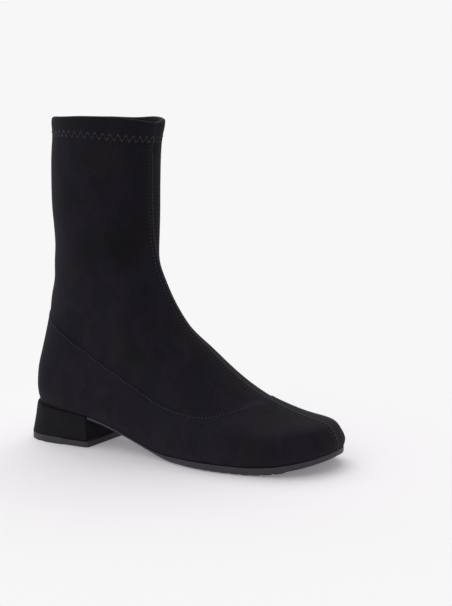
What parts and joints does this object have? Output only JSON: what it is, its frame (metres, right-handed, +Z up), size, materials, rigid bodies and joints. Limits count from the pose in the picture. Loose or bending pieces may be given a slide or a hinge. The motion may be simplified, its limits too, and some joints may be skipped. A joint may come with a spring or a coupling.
{
  "type": "sock ankle boot",
  "caption": "Pull-on stretch sock ankle boot, right foot, with folded collar, centre-front seam, thin rubber sole and low flared block heel.",
  "frame": {"origin": "centre of the heel's ground face, on the floor", "axes": "+X along the heel's centre line towards the toe, +Y towards the inner side of the foot, +Z up the shaft"},
  "size_m": [0.2443, 0.0906, 0.238],
  "materials": {
    "suede": "black stretch microfibre suede, napped and matt",
    "heel_cover": "black microfibre suede, glued tight round the heel block",
    "sole_rubber": "moulded dark grey rubber, satin matt",
    "top_piece_rubber": "cut dark grey rubber, satin matt",
    "sock_lining": "black knitted sock lining over the insole board"
  },
  "bodies": {
    "root": {"upper": "suede", "outsole": "sole_rubber", "heel": "heel_cover", "heel_top_piece": "top_piece_rubber", "insole": "sock_lining"}
  },
  "joints": []
}
